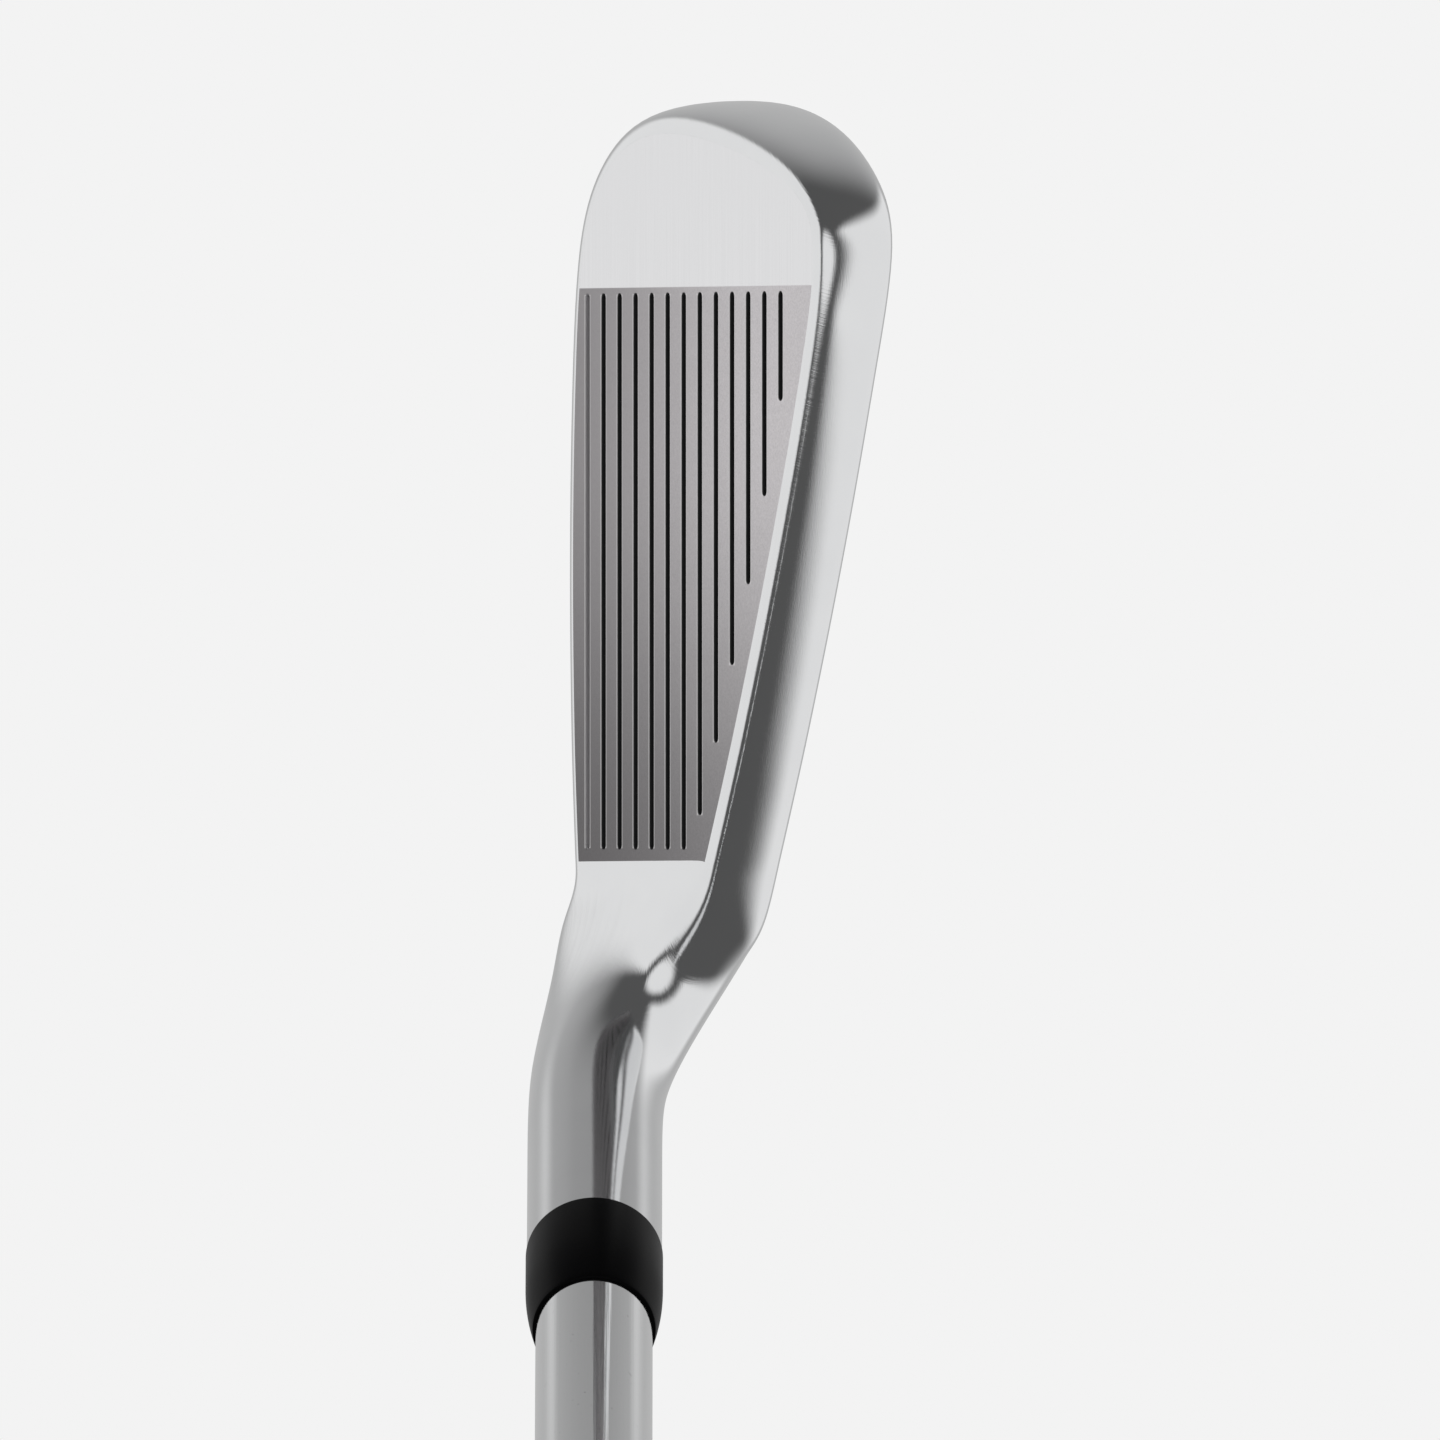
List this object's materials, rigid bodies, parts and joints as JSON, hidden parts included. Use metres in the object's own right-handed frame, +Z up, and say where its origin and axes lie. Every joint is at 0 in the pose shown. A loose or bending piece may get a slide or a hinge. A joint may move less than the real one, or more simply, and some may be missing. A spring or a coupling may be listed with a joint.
{
  "type": "iron golf club",
  "caption": "Right-handed cavity-back iron golf club: grooved steel blade with a bored hosel, black ferrule, stepped steel shaft and a rubber grip with a vented cap.",
  "frame": {"origin": "the point where the shaft's axis meets the ground with the club soled at address", "axes": "+X from toe to heel, towards the player; -Y towards the target, the side the face looks to; +Z up. The shaft rises towards +X at the lie angle of 62.5 degrees"},
  "size_m": [0.5349, 0.0433, 0.8506],
  "materials": {
    "head_chrome": "polished",
    "face_steel": "satin",
    "damping_rubber": "matte",
    "weight_metal": "matte",
    "plug_steel": "satin",
    "adhesive": "matte",
    "badge_rubber": "matte",
    "badge_metal": "satin",
    "epoxy": "gloss",
    "weight_brass": "satin",
    "ferrule_black": "gloss",
    "shaft_chrome": "polished",
    "tape": "matte",
    "grip_rubber": "matte",
    "cap_rubber": "satin"
  },
  "bodies": {
    "root": {"head_body": "head_chrome", "face_plate": "face_steel", "damping_pad": "damping_rubber", "toe_weight": "weight_metal", "toe_weight_plug": "plug_steel", "badge_adhesive": "adhesive", "badge_carrier": "badge_rubber", "badge_plate": "badge_metal", "hosel_epoxy": "epoxy", "tip_weight": "weight_brass", "ferrule": "ferrule_black", "shaft": "shaft_chrome", "grip_tape": "tape", "grip_sleeve": "grip_rubber", "grip_cap": "cap_rubber"}
  },
  "joints": []
}
